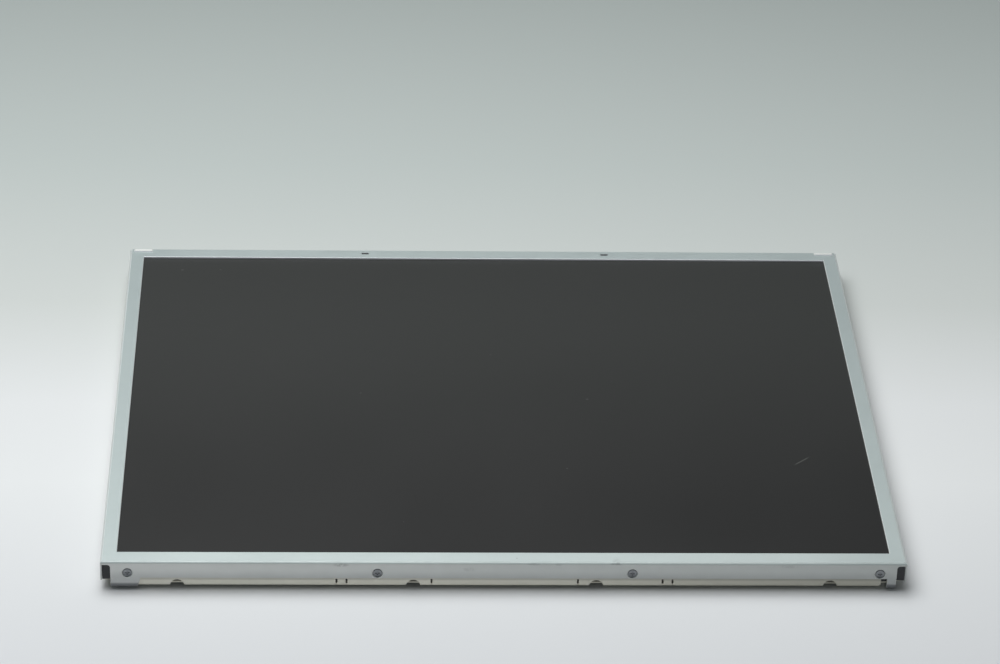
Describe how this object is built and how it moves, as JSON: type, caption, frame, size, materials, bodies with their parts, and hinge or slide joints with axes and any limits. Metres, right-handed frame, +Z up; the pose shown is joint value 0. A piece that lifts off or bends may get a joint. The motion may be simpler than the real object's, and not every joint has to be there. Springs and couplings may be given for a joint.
{
  "type": "lcd panel",
  "caption": "Flat display module: matt dark screen in a thin folded metal bezel, over a moulded frame and a backlight in a pressed metal chassis, with a covered driver board behind.",
  "frame": {"origin": "middle of the outline, on the surface that the module rests on, with its back down", "axes": "+X along the long side, +Y from the screwed side to the side of the driver board, +Z up through the screen"},
  "size_m": [0.396, 0.324, 0.017],
  "materials": {
    "bezel_steel": "thin galvanised sheet, matt, with faint rolling marks",
    "chassis_steel": "plain galvanised sheet, slightly warmer and duller than the bezel",
    "cover_steel": "thin plated sheet",
    "black_plastic": "fine moulded texture",
    "screen_film": "dark grey anti-glare film, matt",
    "panel_glass": "clear flat glass",
    "rear_film": "dark grey film",
    "pad_foam": "soft grey foam",
    "diffuser_film": "milky white film",
    "prism_film": "clear ribbed film",
    "guide_acrylic": "clear polished plate with a white dot print below",
    "pad_silicone": "milky silicone rubber",
    "white_film": "bright white film",
    "trough_metal": "bright silvered sheet",
    "lamp_glass": "white coated glass tube",
    "holder_rubber": "white silicone rubber",
    "driver_film": "amber film with fine printed tracks",
    "chip_black": "moulded black",
    "board_green": "green solder mask",
    "part_black": "moulded black with tinned ends",
    "socket_plastic": "beige moulding",
    "insulator_film": "thin black film",
    "screw_black": "black oxide"
  },
  "bodies": {
    "root": {"front_bezel": "bezel_steel", "mold_frame": "black_plastic", "front_polarizer": "screen_film", "color_filter_glass": "panel_glass", "array_glass": "panel_glass", "rear_polarizer": "rear_film", "glass_pads": "pad_foam", "upper_diffuser": "diffuser_film", "prism_sheet": "prism_film", "lower_diffuser": "diffuser_film", "light_guide": "guide_acrylic", "guide_pads": "pad_silicone", "reflector_sheet": "white_film", "near_lamp_trough": "trough_metal", "far_lamp_trough": "trough_metal", "near_lamps": "lamp_glass", "far_lamps": "lamp_glass", "lamp_holders": "holder_rubber", "back_chassis": "chassis_steel", "source_films": "driver_film", "source_chips": "chip_black", "gate_films": "driver_film", "gate_chips": "chip_black", "driver_board": "board_green", "board_parts": "part_black", "signal_connector": "socket_plastic", "board_insulator": "insulator_film", "shield_cover": "cover_steel", "bezel_screws": "screw_black", "cover_screws": "screw_black"}
  },
  "joints": []
}
